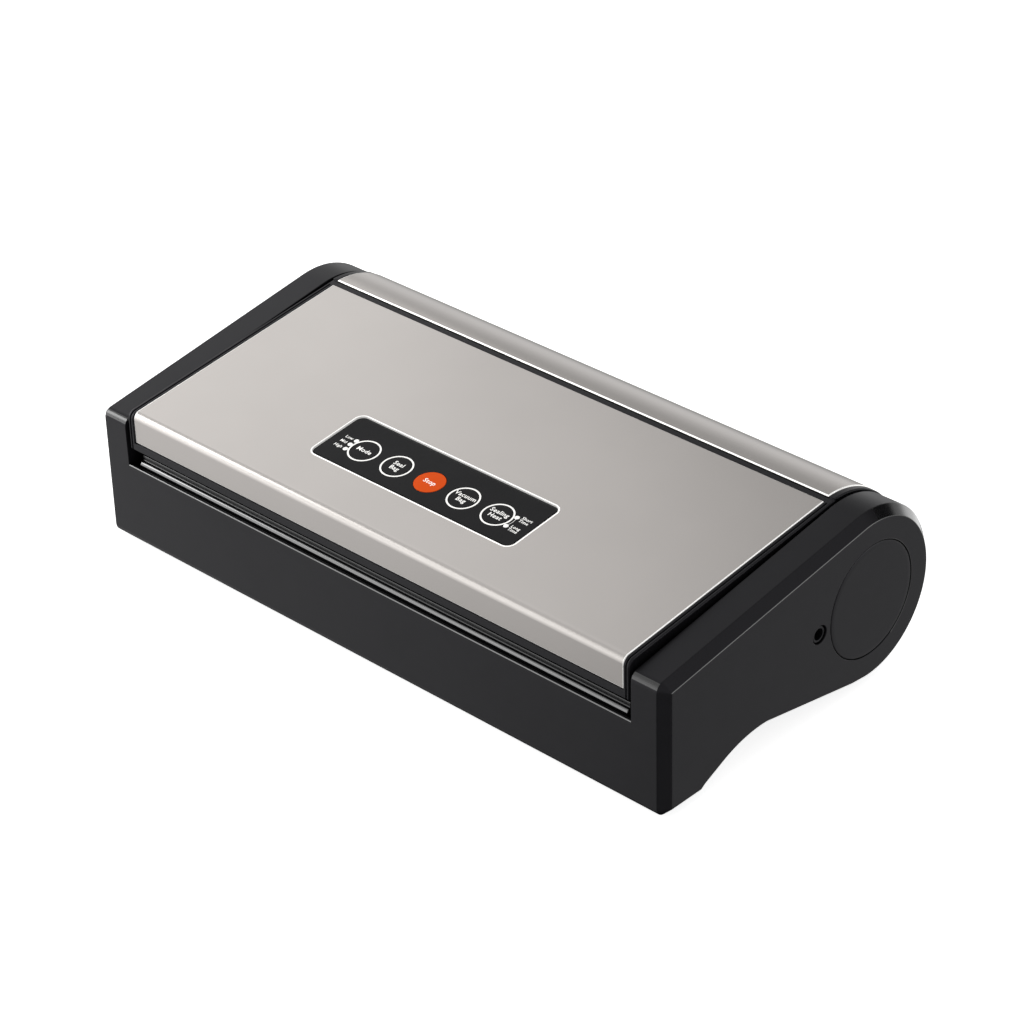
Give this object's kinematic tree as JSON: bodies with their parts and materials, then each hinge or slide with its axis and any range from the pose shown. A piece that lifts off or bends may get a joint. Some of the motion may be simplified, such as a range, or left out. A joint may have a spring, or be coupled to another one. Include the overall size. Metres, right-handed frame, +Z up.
{
  "type": "vacuum sealer",
  "caption": "Countertop vacuum sealer with a hinged steel-faced lid, push buttons, sealing bar, vacuum trough and round hinge ends.",
  "frame": {"origin": "centre of the bounding box on the table, under the rubber feet", "axes": "+X to the right along the machine seen from its front, +Y from the front to the back, +Z up"},
  "size_m": [0.4, 0.2058, 0.1023],
  "materials": {
    "black_plastic": "fine satin moulding texture",
    "gloss_black": "gloss",
    "brushed_steel": "fine satin",
    "panel_black": "satin",
    "orange_plastic": "satin",
    "rubber": "matt",
    "silicone": "matt, translucent white",
    "machined_steel": "bright zinc plate",
    "circuit_board": "green lacquer",
    "transformer_core": "varnished laminations",
    "ptfe_tape": "tan coated glass cloth",
    "led_lens": "clear",
    "white_ink": "screen print"
  },
  "bodies": {
    "base": {"base_housing": "black_plastic", "bottom_cover": "black_plastic", "deck": "gloss_black", "pump_cover": "black_plastic", "hinge_cap_left": "black_plastic", "hinge_cap_right": "black_plastic", "hinge_pin_left": "machined_steel", "hinge_pin_right": "machined_steel", "accessory_port": "black_plastic", "power_inlet": "black_plastic", "drip_tray": "gloss_black", "heater_bar": "silicone", "heating_strip_front": "machined_steel", "heating_strip_rear": "machined_steel", "ptfe_tape": "ptfe_tape", "lower_gasket": "rubber", "pump_motor": "machined_steel", "pump_head": "black_plastic", "pump_bracket": "machined_steel", "transformer": "transformer_core", "power_board": "circuit_board", "lid_switch": "black_plastic", "vacuum_hose": "silicone", "port_hose": "silicone", "foot_front_left": "rubber", "bottom_screw_front_left": "machined_steel", "foot_front_right": "rubber", "bottom_screw_front_right": "machined_steel", "foot_rear_left": "rubber", "bottom_screw_rear_left": "machined_steel", "foot_rear_right": "rubber", "bottom_screw_rear_right": "machined_steel"},
    "lid": {"lid_frame": "black_plastic", "lid_top_plate": "brushed_steel", "rear_cover_plate": "brushed_steel", "lid_liner": "black_plastic", "control_panel": "panel_black", "panel_board": "circuit_board", "seal_pressure_strip": "silicone", "upper_gasket": "rubber", "led_1": "led_lens", "led_2": "led_lens", "led_3": "led_lens", "led_4": "led_lens", "led_5": "led_lens"},
    "button_mode_cap": {"button_mode": "panel_black"},
    "button_seal_cap": {"button_seal": "panel_black"},
    "button_stop_cap": {"button_stop": "orange_plastic"},
    "button_vacuum_cap": {"button_vacuum": "panel_black"},
    "button_heat_cap": {"button_heat": "panel_black"}
  },
  "joints": [
    {"name": "lid_hinge", "type": "hinge", "parent": "base", "child": "lid", "pos_m": [0, 0.05286, 0.0516], "axis": [-1, 0, 0], "range_deg": [0, 60]},
    {"name": "button_mode_press", "type": "slide", "parent": "lid", "child": "button_mode_cap", "axis": [0, 0.1123, -0.9937], "range_m": [0, 0.0007], "stiffness_N_per_m": 600},
    {"name": "button_seal_press", "type": "slide", "parent": "lid", "child": "button_seal_cap", "axis": [0, 0.1123, -0.9937], "range_m": [0, 0.0007], "stiffness_N_per_m": 600},
    {"name": "button_stop_press", "type": "slide", "parent": "lid", "child": "button_stop_cap", "axis": [0, 0.1123, -0.9937], "range_m": [0, 0.0007], "stiffness_N_per_m": 600},
    {"name": "button_vacuum_press", "type": "slide", "parent": "lid", "child": "button_vacuum_cap", "axis": [0, 0.1123, -0.9937], "range_m": [0, 0.0007], "stiffness_N_per_m": 600},
    {"name": "button_heat_press", "type": "slide", "parent": "lid", "child": "button_heat_cap", "axis": [0, 0.1123, -0.9937], "range_m": [0, 0.0007], "stiffness_N_per_m": 600}
  ]
}
